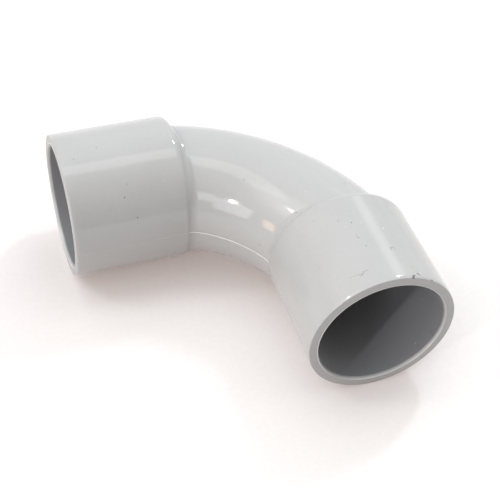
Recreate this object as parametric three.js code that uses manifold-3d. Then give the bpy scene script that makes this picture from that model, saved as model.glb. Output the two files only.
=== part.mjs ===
// A 90 degree sweep elbow for 25 mm rigid PVC electrical conduit, with a
// solvent-cement socket at each end. Millimetres, +Z up, the elbow lying on its side.
//
// The real elbow is one injection moulding. It is divided here where its shape
// divides: two straight sockets, and between their shoulders the curved sweep.
// The origin is under the middle of the elbow, on the surface that it lies on.

import * as THREE from 'three';
import { mergeVertices } from 'three/addons/utils/BufferGeometryUtils.js';
import Module from 'manifold-3d';

// Sockets. Distances along a socket are measured from its mouth.
const MOUTH_RADIUS = 14.75; // outside, at the mouth
const SHOULDER_RADIUS = 14.6; // outside, at the shoulder: the draft that frees the mould
const SOCKET_LENGTH = 24.3; // mouth to shoulder
const BORE_MOUTH_RADIUS = 12.65; // a 25 mm conduit enters freely here
const BORE_STOP_RADIUS = 12.5; // and is tight here
const STOP_DEPTH = 22; // mouth to the ledge that stops the conduit
const RIM_ROUND = 0.35; // rounding of the mouth's outer edge
const LEAD_IN_WIDTH = 0.28; // chamfer of the bore's edge, across the rim
const LEAD_IN_DEPTH = 0.56; // and along the bore
const SHOULDER_ROUND = 1.7; // rounding of the shoulder's outer edge

// Sweep. The two socket axes cross at the corner point.
const SHOULDER_DISTANCE = 25.9; // corner point to a shoulder, along the socket axis
const SWEEP_CENTRE_DISTANCE = 38.1; // each socket axis to the middle of the sweep's arc
const SWEEP_RADIUS = 39.2; // radius of the arc that the tube's centre follows
const SWEEP_TUBE_RADIUS = 12.75; // outside of the curved tube
const SWEEP_WALL = 2;

// Gap kept between neighbouring solids of the one moulding.
const SEAM_GAP = 0.3;

// Smoothness.
const SOCKET_SEGMENTS = 72;
const TUBE_SEGMENTS = 48;
const SWEEP_SEGMENTS = 96; // for the full turn, of which the sweep uses a seventh
const RIM_ROUND_STEPS = 3;
const SHOULDER_ROUND_STEPS = 5;

const MOUTH_DISTANCE = SHOULDER_DISTANCE + SOCKET_LENGTH;
const STOP_DISTANCE = MOUTH_DISTANCE - STOP_DEPTH;
const SWEEP_BORE_RADIUS = SWEEP_TUBE_RADIUS - SWEEP_WALL;
const CORNER_OFFSET = (MOUTH_DISTANCE - MOUTH_RADIUS) / 2; // origin to corner point, along X and Y
const CLEAR = 5; // how far a cutting shape reaches past what it cuts

const wasm = await Module();
wasm.setup();

// Turns a closed geometry into a solid for joining and cutting.
function toSolid(geometry) {
  const bare = geometry.clone();
  bare.deleteAttribute('normal');
  bare.deleteAttribute('uv');
  const merged = mergeVertices(bare, 1e-4);
  const vertProperties = Float32Array.from(merged.attributes.position.array);
  const triVerts = Uint32Array.from(merged.index.array);
  return new wasm.Manifold(new wasm.Mesh({ numProp: 3, vertProperties, triVerts }));
}

function toGeometry(solid) {
  const { vertProperties, triVerts } = solid.getMesh();
  const geometry = new THREE.BufferGeometry();
  geometry.setAttribute('position', new THREE.BufferAttribute(vertProperties, 3));
  geometry.setIndex(new THREE.BufferAttribute(triVerts, 1));
  geometry.computeVertexNormals();
  return geometry;
}

// Points of a quarter round, from the angle given to a quarter turn past it.
function quarterRound(centreRadius, centreY, round, startAngle, steps) {
  const points = [];
  for (let step = 0; step <= steps; step += 1) {
    const angle = startAngle + (Math.PI / 2) * (step / steps);
    const radius = centreRadius + round * Math.cos(angle);
    points.push(new THREE.Vector2(radius, centreY + round * Math.sin(angle)));
  }
  return points;
}

function box(low, high) {
  const size = new THREE.Vector3().subVectors(high, low);
  const centre = new THREE.Vector3().addVectors(low, high).multiplyScalar(0.5);
  return new THREE.BoxGeometry(size.x, size.y, size.z).translate(centre.x, centre.y, centre.z);
}

// Outside of a socket whose axis runs along -Y from the corner point, with no bore.
function socketOutside() {
  const mouth = -MOUTH_DISTANCE;
  const shoulder = -SHOULDER_DISTANCE;
  const profile = [
    new THREE.Vector2(0, mouth),
    ...quarterRound(MOUTH_RADIUS - RIM_ROUND, mouth + RIM_ROUND, RIM_ROUND, -Math.PI / 2, RIM_ROUND_STEPS),
    ...quarterRound(SHOULDER_RADIUS - SHOULDER_ROUND, shoulder - SHOULDER_ROUND, SHOULDER_ROUND, 0,
      SHOULDER_ROUND_STEPS),
    new THREE.Vector2(0, shoulder),
  ];
  return new THREE.LatheGeometry(profile, SOCKET_SEGMENTS);
}

// The socket's bore: a lead-in chamfer, then a slight taper down to the stop ledge.
function socketBore() {
  const mouth = -MOUTH_DISTANCE;
  const profile = [
    new THREE.Vector2(0, mouth - CLEAR),
    new THREE.Vector2(BORE_MOUTH_RADIUS + LEAD_IN_WIDTH, mouth - CLEAR),
    new THREE.Vector2(BORE_MOUTH_RADIUS + LEAD_IN_WIDTH, mouth),
    new THREE.Vector2(BORE_MOUTH_RADIUS, mouth + LEAD_IN_DEPTH),
    new THREE.Vector2(BORE_STOP_RADIUS, -STOP_DISTANCE),
    new THREE.Vector2(0, -STOP_DISTANCE),
  ];
  return new THREE.LatheGeometry(profile, SOCKET_SEGMENTS);
}

// The sweep's tube as a full ring around a Z axis through the middle of its arc.
function sweepRing(tubeRadius) {
  const circle = new THREE.EllipseCurve(SWEEP_RADIUS, 0, tubeRadius, tubeRadius);
  const ring = new THREE.LatheGeometry(circle.getPoints(TUBE_SEGMENTS), SWEEP_SEGMENTS);
  ring.rotateX(Math.PI / 2);
  return ring.translate(-SWEEP_CENTRE_DISTANCE, -SWEEP_CENTRE_DISTANCE, 0);
}

// One socket along -Y. On the inside of the bend the sweep's tube is flush with the
// socket, so the end of the tube fills the shoulder's rounding there.
function makeSocket() {
  const reach = MOUTH_RADIUS + CLEAR;
  const low = new THREE.Vector3(-reach, -STOP_DISTANCE, -reach);
  const high = new THREE.Vector3(reach, -SHOULDER_DISTANCE, reach);
  const tubeEnd = toSolid(sweepRing(SWEEP_TUBE_RADIUS)).intersect(toSolid(box(low, high)));
  const solid = toSolid(socketOutside())
    .add(tubeEnd)
    .subtract(toSolid(socketBore()))
    .subtract(toSolid(sweepRing(SWEEP_BORE_RADIUS)));
  return toGeometry(solid);
}

// The curved tube between the two shoulders.
function makeSweep() {
  const nearSide = -SHOULDER_DISTANCE + SEAM_GAP;
  const farSide = MOUTH_RADIUS + CLEAR;
  const low = new THREE.Vector3(nearSide, nearSide, -farSide);
  const high = new THREE.Vector3(farSide, farSide, farSide);
  const solid = toSolid(sweepRing(SWEEP_TUBE_RADIUS))
    .subtract(toSolid(sweepRing(SWEEP_BORE_RADIUS)))
    .intersect(toSolid(box(low, high)));
  return toGeometry(solid);
}

function makePvc() {
  return new THREE.MeshStandardMaterial({ color: 0xcac8c4, roughness: 0.32, metalness: 0 });
}

const socketGeometry = makeSocket();

const rightSocket = new THREE.Mesh(socketGeometry, makePvc());
rightSocket.name = 'right_socket';

// A half turn about the line between the two axes lays the same socket along -X.
const leftSocket = new THREE.Mesh(socketGeometry, makePvc());
leftSocket.name = 'left_socket';
leftSocket.quaternion.setFromAxisAngle(new THREE.Vector3(1, 1, 0).normalize(), Math.PI);

const sweepBend = new THREE.Mesh(makeSweep(), makePvc());
sweepBend.name = 'sweep_bend';

const elbow = new THREE.Group();
elbow.position.set(CORNER_OFFSET, CORNER_OFFSET, MOUTH_RADIUS);
elbow.add(leftSocket, sweepBend, rightSocket);

const conduitElbow = new THREE.Group();
conduitElbow.add(elbow);

export default conduitElbow;
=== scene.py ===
"""A light grey PVC conduit elbow lying on a pale table: two sockets and the sweep between them."""

import math

import bpy
import numpy as np
from mathutils import Matrix, Vector, noise


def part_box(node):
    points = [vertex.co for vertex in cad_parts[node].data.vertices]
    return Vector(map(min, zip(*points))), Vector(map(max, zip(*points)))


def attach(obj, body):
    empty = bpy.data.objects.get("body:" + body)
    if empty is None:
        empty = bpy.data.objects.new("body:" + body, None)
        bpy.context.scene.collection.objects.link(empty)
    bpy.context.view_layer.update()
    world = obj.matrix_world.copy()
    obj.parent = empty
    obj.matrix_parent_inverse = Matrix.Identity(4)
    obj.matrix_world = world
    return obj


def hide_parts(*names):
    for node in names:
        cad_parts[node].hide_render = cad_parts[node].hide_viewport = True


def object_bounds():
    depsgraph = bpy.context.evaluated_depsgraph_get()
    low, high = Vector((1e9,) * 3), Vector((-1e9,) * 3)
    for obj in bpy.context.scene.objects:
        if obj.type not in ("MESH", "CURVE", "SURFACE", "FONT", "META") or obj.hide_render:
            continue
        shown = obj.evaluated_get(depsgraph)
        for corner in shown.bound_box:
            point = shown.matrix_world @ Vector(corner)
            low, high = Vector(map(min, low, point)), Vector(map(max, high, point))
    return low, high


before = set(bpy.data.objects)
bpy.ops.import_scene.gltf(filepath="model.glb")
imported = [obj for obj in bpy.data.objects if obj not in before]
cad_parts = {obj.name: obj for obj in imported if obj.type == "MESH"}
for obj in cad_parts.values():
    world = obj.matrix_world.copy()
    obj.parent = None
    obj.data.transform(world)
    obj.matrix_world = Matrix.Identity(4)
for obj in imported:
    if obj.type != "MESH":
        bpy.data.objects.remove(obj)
cad_low, cad_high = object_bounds()

# ---------------------------------------------------------------- dimensions, in millimetres

MM = 0.001

# From the frame: the left socket lies along X, the right one along Y.
left_low, left_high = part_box("left_socket")
right_low, right_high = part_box("right_socket")
sweep_low, sweep_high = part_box("sweep_bend")
MOUTH_RADIUS = (left_high.z - left_low.z) / 2 / MM
SWEEP_TUBE_RADIUS = (sweep_high.z - sweep_low.z) / 2 / MM
CORNER = Vector((
    (right_low.x + right_high.x) / 2,
    (left_low.y + left_high.y) / 2,
    (left_low.z + left_high.z) / 2,
))
MOUTH_DISTANCE = (CORNER.x - left_low.x) / MM  # corner point to a mouth, along the socket axis
SHOULDER_DISTANCE = (CORNER.x - left_high.x) / MM

# As in the CAD source, which the frame can't give.
SHOULDER_RADIUS = 14.6
SHOULDER_ROUND = 1.7
BORE_MOUTH_RADIUS = 12.65
BORE_STOP_RADIUS = 12.5
STOP_DEPTH = 22.0
LEAD_IN_WIDTH = 0.28
LEAD_IN_DEPTH = 0.56
SWEEP_CENTRE_DISTANCE = 38.1
SWEEP_RADIUS = 39.2
SWEEP_WALL = 2.0

# Finer shape that only the visual model has.
FILLET_OUTSIDE = 0.6  # between shoulder and sweep, on the outside of the bend
FILLET_INSIDE = 2.6  # and on the inside
EDGE_DROP = 0.14  # the wall bends in by this much just before the mouth
EDGE_RUN = 0.55  # length of that stretch
EDGE_SOFTNESS = 3.0  # radius where the wall starts to bend in
RIM_SOFTNESS = 0.16  # radius between the bent-in stretch and the mouth's face
LIP_HEIGHT = 0.13  # burr left round the inner edge of the mouth
LIP_WIDTH = 0.15
LIP_SOFTNESS = 0.03
LIP_PAINTED_HIGHLIGHT = 0.7  # painted highlight on the burr: how far it is whitened, from 0 to 1
CHAMFER_SOFTNESS = 0.1  # rounding of the lead-in chamfer's edges
LEDGE_SOFTNESS = 0.25  # rounding of the stop ledge, at its top and at its foot
PARTING_HEIGHT = 0.28  # flash left where the mould halves met, on the inside of the bend
PARTING_HEIGHT_OUTSIDE = 0.08  # the same on the outside of the bend
PARTING_HEIGHT_SOCKET = 0.07
PARTING_ABOVE = 0.12  # how far it reaches above the parting plane, where it drops steeply
PARTING_BELOW = 0.22  # and below, where it fades out
WAVE_HEIGHT = 0.012  # slow unevenness of the moulded skin
WAVE_LENGTH = 7.0

STOP_DISTANCE = MOUTH_DISTANCE - STOP_DEPTH
SWEEP_BORE_RADIUS = SWEEP_TUBE_RADIUS - SWEEP_WALL
HALFWAY = math.pi / 4  # sweep angle where the two halves of the bend meet

# ---------------------------------------------------------------- shape

AROUND = 288  # points around a ring, before the extra ones at the parting lines
# Extra angles on each side of a parting line, in radians, so that the narrow flash has its own faces.
PARTING_POINTS = (0.002, 0.004, 0.006, 0.008, 0.010, 0.013, 0.017)

# Numbers of rings.
CORNER_STEPS = 5  # on each rounded corner at the mouth
WALL_RINGS = 24
SHOULDER_RINGS = 12
FACE_RINGS = 3  # on the flat of the shoulder's face
LEDGE_RINGS = 4  # on each part of the stop ledge
BORE_RINGS = 20
SWEEP_RINGS = 40  # from a shoulder to halfway round the bend
# Share of a fillet's turn at each of its rings, closer together where it meets its neighbours.
FILLET_SHARES = (0.0, 0.02, 0.1, 0.22, 0.35, 0.5, 0.65, 0.78, 0.9, 0.98, 1.0)

MOUTH_INNER = 1.0  # the mouth's own rings take up this much of the bore
MOUTH_OUTER = 1.2  # and this much of the wall
LEDGE_CLEARANCE = 1.0  # from the stop ledge to the first plain ring of the socket's bore

# Searches by halving: how often, and between what distances.
HALVINGS = 48
TUBE_NEAREST, TUBE_FARTHEST = 4.0, 24.0  # socket axis to the tube's surface
FILLET_BACK, FILLET_AHEAD = 8, 3  # fillet's foot, before and after the shoulder plane
SLOPE_STEP = 1e-3  # how far apart two points are, whose difference gives a slope


def ring_angles():
    """Angles around a socket's axis: 0 is the outside of the bend, pi the inside."""
    step = 2 * math.pi / AROUND
    angles = [k * step for k in range(AROUND)]
    for line in (0.0, math.pi):
        for extra in PARTING_POINTS:
            angles += [line + extra, line - extra]
    return np.sort(np.mod(angles, 2 * math.pi))


THETA = ring_angles()
COS, SIN = np.cos(THETA), np.sin(THETA)


def tube_reach(s, tube_radius):
    """Socket axis to the sweep's tube, at distance s from the corner, for every angle."""
    low, high = np.full_like(THETA, TUBE_NEAREST), np.full_like(THETA, TUBE_FARTHEST)
    for _ in range(HALVINGS):
        r = (low + high) / 2
        across = np.hypot(SWEEP_CENTRE_DISTANCE + r * COS, SWEEP_CENTRE_DISTANCE - s) - SWEEP_RADIUS
        outside = across**2 + (r * SIN) ** 2 > tube_radius**2
        high = np.where(outside, r, high)
        low = np.where(outside, low, r)
    return (low + high) / 2


def wall_radius(s):
    """Outside of a socket, with the draft from shoulder to mouth."""
    along = (s - SHOULDER_DISTANCE) / (MOUTH_DISTANCE - SHOULDER_DISTANCE)
    return SHOULDER_RADIUS + (MOUTH_RADIUS - SHOULDER_RADIUS) * along


def bore_radius(s):
    along = (s - STOP_DISTANCE) / (MOUTH_DISTANCE - STOP_DISTANCE)
    return BORE_STOP_RADIUS + (BORE_MOUTH_RADIUS - BORE_STOP_RADIUS) * along


def ring(s, r, normal_s=0.0, normal_r=1.0, kind="skin"):
    """One ring about a socket axis: points and normals as (s, a, z), a to the outside of the bend."""
    s, r, ns, nr = (np.broadcast_to(v, THETA.shape).astype(float) for v in (s, r, normal_s, normal_r))
    points = np.stack([s, r * COS, r * SIN], axis=1)
    normals = np.stack([ns, nr * COS, nr * SIN], axis=1)
    return points, normals, kind


def rounded_profile(corners, radii):
    """Points and normals along a polyline in the (s, r) plane, with an arc at each inner corner."""
    rows = []
    for k in range(1, len(corners) - 1):
        before, here, after = (np.array(corners[k + j], float) for j in (-1, 0, 1))
        arrive = (here - before) / np.linalg.norm(here - before)
        leave = (after - here) / np.linalg.norm(after - here)
        turn = math.acos(float(np.clip(arrive @ leave, -1, 1)))
        side = math.copysign(1.0, arrive[0] * leave[1] - arrive[1] * leave[0])
        to_centre = side * np.array([-arrive[1], arrive[0]])
        start = here - arrive * radii[k - 1] * math.tan(turn / 2)
        centre = start + to_centre * radii[k - 1]
        for j in range(CORNER_STEPS + 1):
            angle = side * turn * j / CORNER_STEPS
            c, s = math.cos(angle), math.sin(angle)
            spin = np.array([[c, -s], [s, c]])
            rows.append((centre - spin @ to_centre * radii[k - 1], spin @ arrive))
    return rows


def mouth_rings():
    """From the bore, over the lead-in chamfer, the burr, the rim and its rounded edge, to the wall."""
    inner = MOUTH_DISTANCE - MOUTH_INNER
    edge = MOUTH_DISTANCE - EDGE_RUN
    outer = MOUTH_DISTANCE - MOUTH_OUTER
    chamfer_start = MOUTH_DISTANCE - LEAD_IN_DEPTH
    face_end = MOUTH_RADIUS - EDGE_DROP - RIM_SOFTNESS / 2
    corners = [
        (inner, bore_radius(inner)),
        (chamfer_start, BORE_MOUTH_RADIUS),
        (MOUTH_DISTANCE + LIP_HEIGHT, BORE_MOUTH_RADIUS + LEAD_IN_WIDTH),
        (MOUTH_DISTANCE, BORE_MOUTH_RADIUS + LEAD_IN_WIDTH + LIP_WIDTH),
        (MOUTH_DISTANCE, MOUTH_RADIUS - EDGE_DROP),
        (edge, wall_radius(edge)),
        (outer, wall_radius(outer)),
    ]
    radii = (CHAMFER_SOFTNESS, LIP_SOFTNESS, LIP_SOFTNESS, RIM_SOFTNESS, EDGE_SOFTNESS)
    rings = []
    for (s, r), (along_s, along_r) in rounded_profile(corners, radii):
        kind = "rim"
        if r > face_end:
            kind = "edge"
        elif s > MOUTH_DISTANCE + LIP_HEIGHT / 2:
            kind = "lip"
        elif s < chamfer_start + LEAD_IN_DEPTH / 2:
            kind = "bore"
        rings.append(ring(s, r, along_r, -along_s, kind))
    return rings


def wall_rings():
    stations = np.linspace(MOUTH_DISTANCE - MOUTH_OUTER, SHOULDER_DISTANCE + SHOULDER_ROUND, WALL_RINGS)
    return [ring(s, wall_radius(s)) for s in stations]


def shoulder_and_fillet():
    """Rings of the shoulder up to where the fillet starts, and rings of the fillet to the tube."""
    inside = (1 - COS) / 2
    fillet = FILLET_OUTSIDE + (FILLET_INSIDE - FILLET_OUTSIDE) * inside**2
    centre_s = SHOULDER_DISTANCE + SHOULDER_ROUND
    centre_r = wall_radius(centre_s) - SHOULDER_ROUND

    def tube_point(s):
        reach = tube_reach(s, SWEEP_TUBE_RADIUS)
        slope = (tube_reach(s + SLOPE_STEP, SWEEP_TUBE_RADIUS) - reach) / SLOPE_STEP
        size = np.hypot(slope, 1)
        return reach, -slope / size, 1 / size

    # The fillet is a ball that touches both: its centre is off the tube by its radius.
    low = np.full_like(THETA, SHOULDER_DISTANCE - FILLET_BACK)
    high = np.full_like(THETA, SHOULDER_DISTANCE + FILLET_AHEAD)
    for _ in range(HALVINGS):
        s = (low + high) / 2
        r, ns, nr = tube_point(s)
        ball_s, ball_r = s + fillet * ns, r + fillet * nr
        past_s, past_r = centre_s - ball_s, ball_r - centre_r
        gap = np.hypot(np.maximum(past_s, 0), np.maximum(past_r, 0))
        gap += np.minimum(np.maximum(past_s, past_r), 0) - SHOULDER_ROUND - fillet
        low, high = np.where(gap > 0, s, low), np.where(gap > 0, high, s)

    on_round = past_r > 0
    turn_to = np.where(on_round, np.arctan2(past_s, np.maximum(past_r, 1e-9)), math.pi / 2)
    face_run = np.where(on_round, 0.0, -past_r)

    rings = []
    for k in range(1, SHOULDER_RINGS + 1):
        turn = turn_to * k / SHOULDER_RINGS
        rings.append(ring(
            centre_s - SHOULDER_ROUND * np.sin(turn),
            centre_r + SHOULDER_ROUND * np.cos(turn),
            -np.sin(turn), np.cos(turn),
        ))
    for k in range(1, FACE_RINGS + 1):
        rings.append(ring(
            centre_s - SHOULDER_ROUND * np.sin(turn_to),
            centre_r + SHOULDER_ROUND * np.cos(turn_to) - face_run * k / FACE_RINGS,
            -np.sin(turn_to), np.cos(turn_to),
        ))
    turn_end = -np.arctan2(ns, nr)
    fillet_rings = []
    for share in FILLET_SHARES:
        turn = turn_to + (turn_end - turn_to) * share
        fillet_rings.append(ring(
            ball_s + fillet * np.sin(turn),
            ball_r - fillet * np.cos(turn),
            -np.sin(turn), np.cos(turn),
        ))
    return rings, fillet_rings


def tube_rings(first, tube_radius, kind, facing):
    """Rings on the sweep's tube, from a ring of points (s, a, z) on it to halfway round the bend."""
    reach_a = SWEEP_CENTRE_DISTANCE + first[:, 1]
    reach_s = SWEEP_CENTRE_DISTANCE - first[:, 0]
    sweep_angle = np.arctan2(reach_s, reach_a)
    tube_angle = np.arctan2(first[:, 2], np.hypot(reach_a, reach_s) - SWEEP_RADIUS)
    rings = []
    for k in range(1, SWEEP_RINGS + 1):
        angle = sweep_angle + (HALFWAY - sweep_angle) * k / SWEEP_RINGS
        out, up = np.cos(tube_angle), np.sin(tube_angle)
        radius = SWEEP_RADIUS + tube_radius * out
        points = np.stack([
            SWEEP_CENTRE_DISTANCE - radius * np.sin(angle),
            radius * np.cos(angle) - SWEEP_CENTRE_DISTANCE,
            tube_radius * up,
        ], axis=1)
        normals = np.stack([-out * np.sin(angle), out * np.cos(angle), up], axis=1) * facing
        rings.append((points, normals, kind))
    return rings


def bore_rings():
    """From the shoulder plane to the mouth: end of the sweep's bore, stop ledge, bore of the socket."""
    rings = []
    for s in np.linspace(SHOULDER_DISTANCE, STOP_DISTANCE - LEDGE_SOFTNESS, LEDGE_RINGS):
        rings.append(ring(s, tube_reach(s, SWEEP_BORE_RADIUS), 0, -1, "bore"))
    edge = tube_reach(STOP_DISTANCE, SWEEP_BORE_RADIUS)
    for k in range(1, LEDGE_RINGS + 1):
        turn = math.pi / 2 * k / LEDGE_RINGS
        rings.append(ring(
            STOP_DISTANCE - LEDGE_SOFTNESS * (1 - math.sin(turn)),
            edge + LEDGE_SOFTNESS * (1 - math.cos(turn)),
            math.sin(turn), -math.cos(turn), "bore",
        ))
    for k in range(LEDGE_RINGS):
        turn = math.pi / 2 * k / (LEDGE_RINGS - 1)
        rings.append(ring(
            STOP_DISTANCE + LEDGE_SOFTNESS * (1 - math.cos(turn)),
            BORE_STOP_RADIUS - LEDGE_SOFTNESS * (1 - math.sin(turn)),
            math.cos(turn), -math.sin(turn), "bore",
        ))
    for s in np.linspace(STOP_DISTANCE + LEDGE_CLEARANCE, MOUTH_DISTANCE - MOUTH_INNER, BORE_RINGS):
        rings.append(ring(s, bore_radius(s), 0, -1, "bore"))
    return rings


def lay_along(points, side):
    """Socket coordinates (s, a, z) to the elbow's frame: right socket along -Y, left one along -X."""
    s, a, z = points[:, 0], points[:, 1], points[:, 2]
    return np.stack([a, -s, z] if side == "right" else [-s, a, z], axis=1)


def parting_ridge(points):
    """Height of the flash on the parting plane: most inside the bend, worn down elsewhere."""
    x, y, z = points.T
    along = np.maximum(-x, -y)
    on_socket = np.clip((along - SHOULDER_DISTANCE) / SHOULDER_ROUND, 0, 1)
    inside = np.hypot(x + SWEEP_CENTRE_DISTANCE, y + SWEEP_CENTRE_DISTANCE) < SWEEP_RADIUS
    on_bend = np.where(inside, PARTING_HEIGHT, PARTING_HEIGHT_OUTSIDE)
    height = on_bend + (PARTING_HEIGHT_SOCKET - on_bend) * on_socket
    off_plane = np.clip(np.where(z > 0, z / PARTING_ABOVE, -z / PARTING_BELOW), 0, 1)
    return height * (1 + np.cos(math.pi * off_plane)) / 2


def unevenness(points):
    return np.array([noise.noise(Vector(p) / WAVE_LENGTH) for p in points]) * WAVE_HEIGHT


def skin_lift(points):
    return parting_ridge(points) + unevenness(points)


def finished(rings, side):
    """Rings in the elbow's frame, with the flash, the skin's unevenness and the share of painted
    highlight on flash and burr.
    """
    made = []
    for points, normals, kind in rings:
        points, normals = lay_along(points, side), lay_along(normals, side)
        # Painted highlight: the burr, and the flash as far as it stands up, get a whiter colour.
        painted_highlight = np.full(len(points), LIP_PAINTED_HIGHLIGHT if kind == "lip" else 0.0)
        if kind == "skin":
            painted_highlight = parting_ridge(points) / PARTING_HEIGHT
            lift = skin_lift(points)
            slope = np.stack([
                (skin_lift(points + nudge) - lift) / SLOPE_STEP for nudge in np.eye(3) * SLOPE_STEP
            ], axis=1)
            slope -= normals * np.sum(slope * normals, axis=1)[:, None]
            points = points + normals * lift[:, None]
            normals = normals - slope
        made.append((points, normals / np.linalg.norm(normals, axis=1)[:, None], kind, painted_highlight))
    return made


def grid_piece(name, rings, flipped):
    """A closed piece from rings that follow each other and join up, the last one to the first."""
    rows, columns = len(rings), len(THETA)
    points = np.concatenate([p for p, _, _, _ in rings]) * MM + np.array(CORNER)
    normals = np.concatenate([n for _, n, _, _ in rings])
    row, column = np.meshgrid(np.arange(rows), np.arange(columns), indexing="ij")
    next_row, next_column = (row + 1) % rows, (column + 1) % columns
    corners = [
        row * columns + column,
        next_row * columns + column,
        next_row * columns + next_column,
        row * columns + next_column,
    ]
    faces = np.stack(corners[::-1] if flipped else corners, axis=-1).reshape(-1, 4)
    mesh = bpy.data.meshes.new(name)
    mesh.from_pydata(points.tolist(), [], faces.tolist())
    mesh.polygons.foreach_set("use_smooth", np.ones(len(mesh.polygons), bool))
    mesh.normals_split_custom_set_from_vertices(normals.tolist())
    for kind in ("bore", "rim"):
        share = np.repeat([float(k == kind) for _, _, k, _ in rings], columns)
        mesh.attributes.new(kind, "FLOAT", "POINT").data.foreach_set("value", share)
    painted_highlight = np.concatenate([t for _, _, _, t in rings])
    mesh.attributes.new("painted_highlight", "FLOAT", "POINT").data.foreach_set("value", painted_highlight)
    piece = bpy.data.objects.new(name, mesh)
    bpy.context.scene.collection.objects.link(piece)
    return piece


def make_socket(name, side):
    shoulder, _ = shoulder_and_fillet()
    rings = mouth_rings() + wall_rings() + shoulder + bore_rings()
    return grid_piece(name, finished(rings, side), flipped=side == "left")


def make_sweep(name):
    _, fillet = shoulder_and_fillet()
    skin = fillet + tube_rings(fillet[-1][0], SWEEP_TUBE_RADIUS, "skin", 1)
    mouth = ring(SHOULDER_DISTANCE, tube_reach(SHOULDER_DISTANCE, SWEEP_BORE_RADIUS), 0, -1, "bore")
    bore = [mouth] + tube_rings(mouth[0], SWEEP_BORE_RADIUS, "bore", -1)
    right_skin, left_skin = finished(skin, "right"), finished(skin, "left")
    right_bore, left_bore = finished(bore, "right"), finished(bore, "left")
    rings = right_skin + left_skin[-2::-1] + left_bore + right_bore[-2::-1]
    return grid_piece(name, rings, flipped=False)


left_socket = make_socket("left_socket_moulded", "left")
right_socket = make_socket("right_socket_moulded", "right")
sweep_bend = make_sweep("sweep_bend_moulded")

for piece, node in (
    (left_socket, "left_socket"),
    (right_socket, "right_socket"),
    (sweep_bend, "sweep_bend"),
):
    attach(piece, "root")
    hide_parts(node)

# ---------------------------------------------------------------- materials

PVC_COLOUR = (0.405, 0.40, 0.395, 1)
PVC_COLOUR_DEEP = (0.385, 0.38, 0.376, 1)  # where the mottling is darker
# Painted shade: the bore gets a darker colour than the plastic, for the shade inside it.
BORE_SHADE_COLOUR = (0.24, 0.242, 0.252, 1)
# Painted shade: the mouth's face gets a darker colour than the plastic.
RIM_SHADE_COLOUR = (0.35, 0.345, 0.342, 1)
PAINTED_HIGHLIGHT_COLOUR = (0.60, 0.59, 0.575, 1)  # painted highlight: whiter colour on the flash and the burr
PAINTED_HIGHLIGHT_RANGE = (0.05, 0.7)  # share of painted highlight where the whitening starts and where it is full
DIRT = (0.05, 0.047, 0.045, 1)
PALE_SPECK = (0.60, 0.59, 0.575, 1)
RUST = (0.55, 0.25, 0.14, 1)

GLOSS_ROUGHNESS = 0.09
GLOSS_RANGE = (GLOSS_ROUGHNESS - 0.015, GLOSS_ROUGHNESS + 0.02)  # least and most, by the mottling
BORE_ROUGHNESS = 0.34
RIM_ROUGHNESS = 0.42
SCUFF_ROUGHNESS = 0.3  # added on scratches and specks
IOR = 1.53

# Pattern sizes, as repeats per millimetre.
CLOUDS = 0.09
MOTTLING = 1.1
GRAIN = 7.0
ORANGE_PEEL = 0.8
SPECK_CELLS = 0.34
SCRATCH_WANDER = 0.3
SCRATCH_GROUPS = 0.21
HAIR_WOBBLE = 0.9
RAGGED_EDGE = 6.0

# Sizes of the marks, in millimetres.
DARK_SPECK_RADIUS = 0.13
PALE_SPECK_RADIUS = 0.11
HAIR_WIDTH = 0.07
HAIR_WOBBLE_REACH = 0.25
SCRATCH_WIDTH = 0.0035  # this one as a difference of the noise that the scratches follow

# Parts of a whole: how the cloudy colour is mixed, and which cells' random values give a speck.
CLOUD_SHARE = 0.6
DARK_SPECK_CHANCE = (0.5, 1.0)
PALE_SPECK_CHANCE = (0.0, 0.22)

# How strongly each mark colours the plastic.
DARK_SPECK_STRENGTH = 0.6
PALE_SPECK_STRENGTH = 0.8
SCRATCH_STRENGTH = 0.2
HAIR_STRENGTH = 0.5
SPOT_STRENGTH = 0.85

# Heights and depths for the bump, in millimetres.
ORANGE_PEEL_HEIGHT = 0.0022
GRAIN_HEIGHT = 0.0002
RIM_TEXTURE_HEIGHT = 0.02
SCRATCH_DEPTH = 0.006
PALE_SPECK_HEIGHT = 0.02

# Single marks on the sockets: side, degrees from the outside of the bend, millimetres from the corner
# point along the socket, radius, colour.
SPOTS = (
    ("right", 73.0, 50.1, 0.28, DIRT),
    ("right", 72.2, 49.75, 0.24, DIRT),
    ("right", 71.0, 49.6, 0.13, DIRT),
    ("right", 67.4, 49.1, 0.2, DIRT),
    ("right", 66.2, 49.35, 0.14, DIRT),
    ("right", 55.6, 50.1, 0.24, DIRT),
    ("right", 69.9, 47.5, 0.16, RUST),
    ("right", 74.7, 37.0, 0.16, PALE_SPECK),
    ("right", 96.0, 34.3, 0.12, DIRT),
    ("left", 139.0, 39.4, 0.14, DIRT),
    ("left", 156.3, 37.5, 0.12, DIRT),
    ("left", 131.8, 31.2, 0.12, PALE_SPECK),
)
# Curved scratches and hairs: side, degrees and millimetres as above, radius of the curve, which side
# of the circle is kept (so much around, so much along), share of the full circle.
HAIRS = (
    ("right", 108.0, 41.7, 5.0, (0.0, 1.0), 0.14),
    ("right", 76.4, 42.8, 0.6, (0.0, -1.0), 0.6),
    ("right", 96.0, 37.9, 0.55, (1.0, 0.3), 0.5),
)
MM_PER_DEGREE = 0.25  # along a socket's wall, for a degree around it


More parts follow.
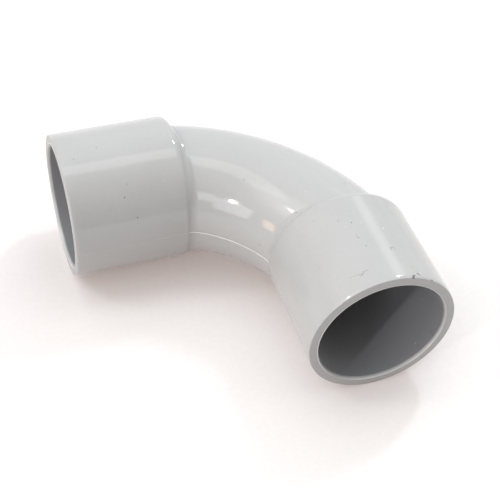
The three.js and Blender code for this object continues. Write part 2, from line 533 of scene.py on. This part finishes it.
class NodeKit:
    """Short calls for the nodes of one material."""

    def __init__(self, tree):
        self.tree = tree

    def put(self, kind, settings=None, links=None, values=None):
        """A new node: its settings, the sockets linked to others, and the sockets with a fixed value."""
        node = self.tree.nodes.new(kind)
        for name, value in (settings or {}).items():
            setattr(node, name, value)
        for name, value in (values or {}).items():
            node.inputs[name].default_value = value
        for name, source in (links or {}).items():
            self.tree.links.new(source, node.inputs[name])
        return node

    def noise(self, place, scale, detail=2.0):
        values = {"Scale": scale, "Detail": detail}
        return self.put("ShaderNodeTexNoise", links={"Vector": place}, values=values).outputs["Fac"]

    def ranged(self, value, start, end, low=0.0, high=1.0):
        values = {"From Min": start, "From Max": end, "To Min": low, "To Max": high}
        return self.put("ShaderNodeMapRange", links={"Value": value}, values=values).outputs["Result"]

    def maths(self, operation, first, second=None, number=0.0):
        node = self.put("ShaderNodeMath", {"operation": operation}, {0: first}, {1: number})
        if second is not None:
            self.tree.links.new(second, node.inputs[1])
        return node.outputs["Value"]

    def blend(self, factor, first, second):
        """Colour blend; a tuple is a fixed colour and anything else is a socket."""
        node = self.put("ShaderNodeMix", {"data_type": "RGBA"}, {"Factor": factor})
        for name, colour in (("A", first), ("B", second)):
            socket = [s for s in node.inputs if s.name == name and s.type == "RGBA"][0]
            if isinstance(colour, tuple):
                socket.default_value = colour
            else:
                self.tree.links.new(colour, socket)
        return [s for s in node.outputs if s.type == "RGBA"][0]

    def attribute(self, name):
        return self.put("ShaderNodeAttribute", {"attribute_name": name}).outputs["Fac"]

    def vectors(self, operation, place, point):
        return self.put("ShaderNodeVectorMath", {"operation": operation}, {0: place}, {1: point})

    def faded(self, value, strength):
        return self.maths("MULTIPLY", value, number=strength)


def new_material(name):
    material = bpy.data.materials.new(name)
    material.use_nodes = True
    tree = material.node_tree
    return material, NodeKit(tree), tree.nodes["Principled BSDF"]


def on_socket(side, angle, along):
    """A point of a socket's outside, in the elbow's millimetres."""
    theta = math.radians(angle)
    radius = wall_radius(along)
    a, z = radius * math.cos(theta), radius * math.sin(theta)
    point = Vector((a, -along, z)) if side == "right" else Vector((-along, a, z))
    return point + CORNER / MM


def spot_mask(kit, place, side, angle, along, radius):
    reach = kit.vectors("DISTANCE", place, on_socket(side, angle, along)).outputs["Value"]
    ragged = kit.ranged(kit.noise(place, RAGGED_EDGE), 0.3, 0.7, -radius / 2, radius / 2)
    return kit.ranged(kit.maths("ADD", reach, ragged), radius * 1.1, radius * 0.7)


def hair_mask(kit, place, side, angle, along, radius, keep, share):
    """A narrow uneven arc: near a circle about a point, on the side that keep points to."""
    centre = on_socket(side, angle, along)
    wobble = kit.noise(place, HAIR_WOBBLE)
    wobble = kit.ranged(wobble, 0.3, 0.7, -HAIR_WOBBLE_REACH, HAIR_WOBBLE_REACH)
    reach = kit.maths("ADD", kit.vectors("DISTANCE", place, centre).outputs["Value"], wobble)
    off_circle = kit.maths("ABSOLUTE", kit.maths("SUBTRACT", reach, number=radius))
    line = kit.ranged(off_circle, HAIR_WIDTH, HAIR_WIDTH * 0.4)
    around, forward = keep
    ahead = on_socket(side, angle + around, along + forward * MM_PER_DEGREE) - centre
    offset = kit.vectors("SUBTRACT", place, centre).outputs["Vector"]
    towards_keep = kit.vectors("DOT_PRODUCT", offset, ahead.normalized()).outputs["Value"]
    cut = radius * math.cos(math.pi * share)
    return kit.maths("MULTIPLY", line, kit.ranged(towards_keep, cut, cut + 0.1))


def largest(kit, masks):
    total = masks[0]
    for mask in masks[1:]:
        total = kit.maths("MAXIMUM", total, mask)
    return total


def specks(kit, place, radius, pick_from, pick_to):
    """Random specks: a dot in some of a Voronoi pattern's cells, picked by the cell's random value."""
    values = {"Scale": SPECK_CELLS, "Randomness": 1.0}
    cells = kit.put("ShaderNodeTexVoronoi", links={"Vector": place}, values=values)
    size = radius * SPECK_CELLS
    dot = kit.ranged(cells.outputs["Distance"], size * 1.15, size * 0.8)
    chance = kit.put("ShaderNodeSeparateColor", links={"Color": cells.outputs["Color"]}).outputs[0]
    above = kit.maths("GREATER_THAN", chance, number=pick_from)
    below = kit.maths("LESS_THAN", chance, number=pick_to)
    return kit.maths("MULTIPLY", dot, kit.maths("MULTIPLY", above, below))


def fine_scratches(kit, place):
    """Short narrow curves: where a slow noise crosses its middle, and a slower one lets them show."""
    wander = kit.noise(place, SCRATCH_WANDER, 1.5)
    middle = kit.maths("ABSOLUTE", kit.maths("SUBTRACT", wander, number=0.5))
    line = kit.ranged(middle, SCRATCH_WIDTH, SCRATCH_WIDTH * 0.34)
    gate = kit.ranged(kit.noise(place, SCRATCH_GROUPS, 0.0), 0.62, 0.66)
    return kit.maths("MULTIPLY", line, gate)


def pvc_material():
    material, kit, shader = new_material("grey_pvc")
    place = kit.put("ShaderNodeTexCoord").outputs["Object"]
    place = kit.put("ShaderNodeVectorMath", {"operation": "SCALE"}, {0: place}, {"Scale": 1 / MM})
    place = place.outputs["Vector"]
    bore, rim, painted_highlight = kit.attribute("bore"), kit.attribute("rim"), kit.attribute("painted_highlight")

    clouds = kit.ranged(kit.noise(place, CLOUDS, 3.0), 0.35, 0.65)
    mottle = kit.ranged(kit.noise(place, MOTTLING, 4.0), 0.3, 0.7)
    scratches = fine_scratches(kit, place)
    hairs = largest(kit, [hair_mask(kit, place, *hair) for hair in HAIRS])
    dark_specks = specks(kit, place, DARK_SPECK_RADIUS, *DARK_SPECK_CHANCE)
    pale_specks = specks(kit, place, PALE_SPECK_RADIUS, *PALE_SPECK_CHANCE)

    shade = kit.maths("ADD", kit.faded(clouds, CLOUD_SHARE), kit.faded(mottle, 1 - CLOUD_SHARE))
    colour = kit.blend(shade, PVC_COLOUR_DEEP, PVC_COLOUR)
    # Painted shade on the mouth's face.
    colour = kit.blend(rim, colour, RIM_SHADE_COLOUR)
    # Painted shade inside the bore.
    colour = kit.blend(bore, colour, BORE_SHADE_COLOUR)
    # Painted highlight: whiter colour on the flash and the burr.
    colour = kit.blend(kit.ranged(painted_highlight, *PAINTED_HIGHLIGHT_RANGE), colour, PAINTED_HIGHLIGHT_COLOUR)
    colour = kit.blend(kit.faded(dark_specks, DARK_SPECK_STRENGTH), colour, DIRT)
    colour = kit.blend(kit.faded(pale_specks, PALE_SPECK_STRENGTH), colour, PALE_SPECK)
    colour = kit.blend(kit.faded(scratches, SCRATCH_STRENGTH), colour, DIRT)
    colour = kit.blend(kit.faded(hairs, HAIR_STRENGTH), colour, DIRT)
    for side, angle, along, radius, mark in SPOTS:
        mask = spot_mask(kit, place, side, angle, along, radius)
        colour = kit.blend(kit.faded(mask, SPOT_STRENGTH), colour, mark)
    kit.tree.links.new(colour, shader.inputs["Base Color"])

    rough = kit.ranged(mottle, 0.0, 1.0, *GLOSS_RANGE)
    rough = kit.maths("ADD", rough, kit.faded(rim, RIM_ROUGHNESS - GLOSS_ROUGHNESS))
    rough = kit.maths("ADD", rough, kit.faded(bore, BORE_ROUGHNESS - GLOSS_ROUGHNESS))
    marks = largest(kit, [scratches, hairs, dark_specks])
    rough = kit.maths("ADD", rough, kit.faded(marks, SCUFF_ROUGHNESS))
    kit.tree.links.new(rough, shader.inputs["Roughness"])
    shader.inputs["IOR"].default_value = IOR

    peel = kit.faded(kit.noise(place, ORANGE_PEEL, 3.0), ORANGE_PEEL_HEIGHT)
    grain = kit.faded(kit.noise(place, GRAIN), GRAIN_HEIGHT)
    rim_texture = kit.faded(kit.maths("MULTIPLY", mottle, rim), RIM_TEXTURE_HEIGHT)
    height = kit.maths("ADD", kit.maths("ADD", peel, grain), rim_texture)
    height = kit.maths("SUBTRACT", height, kit.faded(scratches, SCRATCH_DEPTH))
    height = kit.maths("ADD", height, kit.faded(pale_specks, PALE_SPECK_HEIGHT))
    bump = kit.put("ShaderNodeBump", links={"Height": height}, values={"Strength": 1.0, "Distance": MM})
    kit.tree.links.new(bump.outputs["Normal"], shader.inputs["Normal"])
    return material


FLOOR_COLOUR = (0.63, 0.63, 0.63, 1)
FLOOR_COLOUR_DEEP = (0.61, 0.61, 0.61, 1)
FLOOR_GLOW = 0.18  # the table glows a little, which keeps shadows pale
FLOOR_GLOW_COLOUR = (1.0, 0.74, 0.66, 1)
FLOOR_ROUGHNESS = (0.55, 0.7)  # least and most
PAPER_GRAIN = 900.0  # repeats per metre


def floor_material():
    material, kit, shader = new_material("pale_table")
    place = kit.put("ShaderNodeTexCoord").outputs["Object"]
    paper = kit.ranged(kit.noise(place, PAPER_GRAIN, 3.0), 0.3, 0.7)
    kit.tree.links.new(kit.blend(paper, FLOOR_COLOUR, FLOOR_COLOUR_DEEP), shader.inputs["Base Color"])
    kit.tree.links.new(kit.ranged(paper, 0.0, 1.0, *FLOOR_ROUGHNESS), shader.inputs["Roughness"])
    shader.inputs["Emission Color"].default_value = FLOOR_GLOW_COLOUR
    shader.inputs["Emission Strength"].default_value = FLOOR_GLOW
    return material


pvc = pvc_material()
for piece in (left_socket, right_socket, sweep_bend):
    piece.data.materials.append(pvc)

# ---------------------------------------------------------------- stage, camera and light

FLOOR_HALF = 3.0  # metres


def make_floor():
    mesh = bpy.data.meshes.new("table_top")
    signs = ((-1, -1), (1, -1), (1, 1), (-1, 1))
    corners = [(x * FLOOR_HALF, y * FLOOR_HALF, cad_low.z) for x, y in signs]
    mesh.from_pydata(corners, [], [(0, 1, 2, 3)])
    table = bpy.data.objects.new("table_top", mesh)
    bpy.context.scene.collection.objects.link(table)
    mesh.materials.append(floor_material())


make_floor()


def towards(azimuth, elevation):
    """Unit vector; azimuth 0 is -Y and turns towards +X, in degrees."""
    az, el = math.radians(azimuth), math.radians(elevation)
    return Vector((math.sin(az) * math.cos(el), -math.cos(az) * math.cos(el), math.sin(el)))


# Degrees; metres; the lens and the sensor in millimetres.
CAMERA_AZIMUTH = -20.7
CAMERA_ELEVATION = 45.6
CAMERA_ROLL = 3.4
CAMERA_DISTANCE = 0.2431
CAMERA_LENS = 88.1
SENSOR_WIDTH = 36.0
CAMERA_AIM_OFFSET = (0.0007, -0.00483, 0.0)  # from the middle of the object's box


def make_camera():
    data = bpy.data.cameras.new("camera")
    data.sensor_width = SENSOR_WIDTH
    data.lens = CAMERA_LENS
    camera = bpy.data.objects.new("camera", data)
    bpy.context.scene.collection.objects.link(camera)
    back = towards(CAMERA_AZIMUTH, CAMERA_ELEVATION)
    aim = (cad_low + cad_high) / 2 + Vector(CAMERA_AIM_OFFSET)
    level = Vector((0, 0, 1)).cross(back).normalized()
    roll = Matrix.Rotation(math.radians(CAMERA_ROLL), 4, back)
    right = roll @ level
    up = back.cross(right)
    turn = Matrix((right, up, back)).transposed().to_4x4()
    camera.matrix_world = Matrix.Translation(aim + back * CAMERA_DISTANCE) @ turn
    bpy.context.scene.camera = camera


make_camera()

LIGHT_DISTANCE = 1.2  # metres from the object to every soft box


def soft_box(name, azimuth, elevation, wide, tall, brightness, colour=(1, 1, 1), roll=0):
    """A soft box wide by tall degrees as the object sees it; brightness is in the world's units."""
    data = bpy.data.lights.new(name, "AREA")
    data.shape = "RECTANGLE"
    data.size = 2 * LIGHT_DISTANCE * math.tan(math.radians(wide / 2))
    data.size_y = 2 * LIGHT_DISTANCE * math.tan(math.radians(tall / 2))
    data.energy = brightness * math.pi * data.size * data.size_y
    data.color = colour
    light = bpy.data.objects.new(name, data)
    bpy.context.scene.collection.objects.link(light)
    back = towards(azimuth, elevation)
    side = Matrix.Rotation(math.radians(roll), 3, back) @ Vector((0, 0, 1)).cross(back).normalized()
    turn = Matrix((side, back.cross(side), back)).transposed().to_4x4()
    aim = (cad_low + cad_high) / 2
    light.matrix_world = Matrix.Translation(aim + back * LIGHT_DISTANCE) @ turn


soft_box("key_lamp", -59.3, 30, 1.0, 1.8, 690)
soft_box("key_lamp_edge", -61, 30, 3.5, 5.0, 10, (1.0, 0.88, 0.78))
soft_box("second_lamp", -109, 47.5, 2.5, 2.5, 110)
soft_box("window", -59, 19, 24, 20, 2.9, (0.88, 0.91, 1.0), roll=10)
soft_box("window_side", -41, 29, 11, 14, 2.6, (0.85, 0.92, 1.0), roll=5)
soft_box("peach_lamp", -85, 12, 8, 12, 4.6, (1.0, 0.69, 0.48))
soft_box("ceiling_panel", 180, 83, 60, 16, 1.5)
soft_box("back_right_lamp", 131, 46, 4, 7, 75, (0.85, 0.95, 1.0))

# Broad glows of the room: azimuth, elevation, full out to, gone by (degrees), brightness, colour.
GLOWS = {
    "room": (0, 90, 179, 180, 0.31, (1, 0.92, 0.86)),
    "left_wall": (-95, 12, 10, 52, 0.52, (1, 1, 0.93)),
    "left_ceiling": (-110, 58, 10, 50, 0.85, (0.85, 0.96, 1)),
    "right_wall": (108, 38, 5, 72, 1.02, (0.93, 0.99, 1)),
    "back_wall": (178, 28, 10, 62, 0.5, (0.9, 0.88, 1)),
    "left_front": (-64, 28, 5, 50, 0.22, (1, 0.88, 0.86)),
    "second_lamp_halo": (-108, 50, 2, 22, 1.5, (1, 1, 0.98)),
    "back_right_halo": (140, 35, 1, 9, 1.3, (1, 1, 1)),
}
HORIZON = (0.08, 0.25)  # sine of the elevation where the pale horizon starts and stops fading
HORIZON_FRONT = 0.03  # brightness in front of the object
HORIZON_BACK = 0.28  # and behind it
FRONT_AZIMUTH = -5
FRONT_FULL = 0.8  # cosine of the angle from that direction within which it is fully in front


def make_world():
    """A room as smooth glows, over a pale horizon."""
    world = bpy.data.worlds.new("studio")
    bpy.context.scene.world = world
    world.use_nodes = True
    tree = world.node_tree
    place = tree.nodes.new("ShaderNodeTexCoord").outputs["Generated"]

    def vector_math(operation, first, second):
        node = tree.nodes.new("ShaderNodeVectorMath")
        node.operation = operation
        tree.links.new(first, node.inputs[0])
        if isinstance(second, tuple):
            node.inputs[1].default_value = second
        else:
            tree.links.new(second, node.inputs[1])
        return node

    def fade(value, start, end, low, high):
        node = tree.nodes.new("ShaderNodeMapRange")
        node.interpolation_type = "SMOOTHSTEP"
        tree.links.new(value, node.inputs["Value"])
        for socket, number in zip(("From Min", "From Max", "To Min", "To Max"), (start, end, low, high)):
            node.inputs[socket].default_value = number
        return node.outputs["Result"]

    def tinted(amount, colour):
        node = tree.nodes.new("ShaderNodeVectorMath")
        node.operation = "SCALE"
        node.inputs[0].default_value = colour
        tree.links.new(amount, node.inputs["Scale"])
        return node.outputs["Vector"]

    height = vector_math("DOT_PRODUCT", place, (0.0, 0.0, 1.0)).outputs["Value"]
    front = vector_math("DOT_PRODUCT", place, tuple(towards(FRONT_AZIMUTH, 0))).outputs["Value"]
    band = tree.nodes.new("ShaderNodeMath")
    band.operation = "MULTIPLY"
    tree.links.new(fade(height, HORIZON[1], HORIZON[0], 0.0, 1.0), band.inputs[0])
    tree.links.new(fade(front, 0.0, FRONT_FULL, HORIZON_BACK, HORIZON_FRONT), band.inputs[1])
    total = tinted(band.outputs["Value"], (1.0, 1.0, 1.0))
    for azimuth, elevation, core, reach, brightness, colour in GLOWS.values():
        nearness = vector_math("DOT_PRODUCT", place, tuple(towards(azimuth, elevation)))
        ends = math.cos(math.radians(reach)), math.cos(math.radians(core))
        glow = fade(nearness.outputs["Value"], *ends, 0.0, brightness)
        total = vector_math("ADD", total, tinted(glow, colour)).outputs["Vector"]
    tree.links.new(total, tree.nodes["Background"].inputs["Color"])


make_world()

bpy.context.scene.view_settings.view_transform = "Standard"
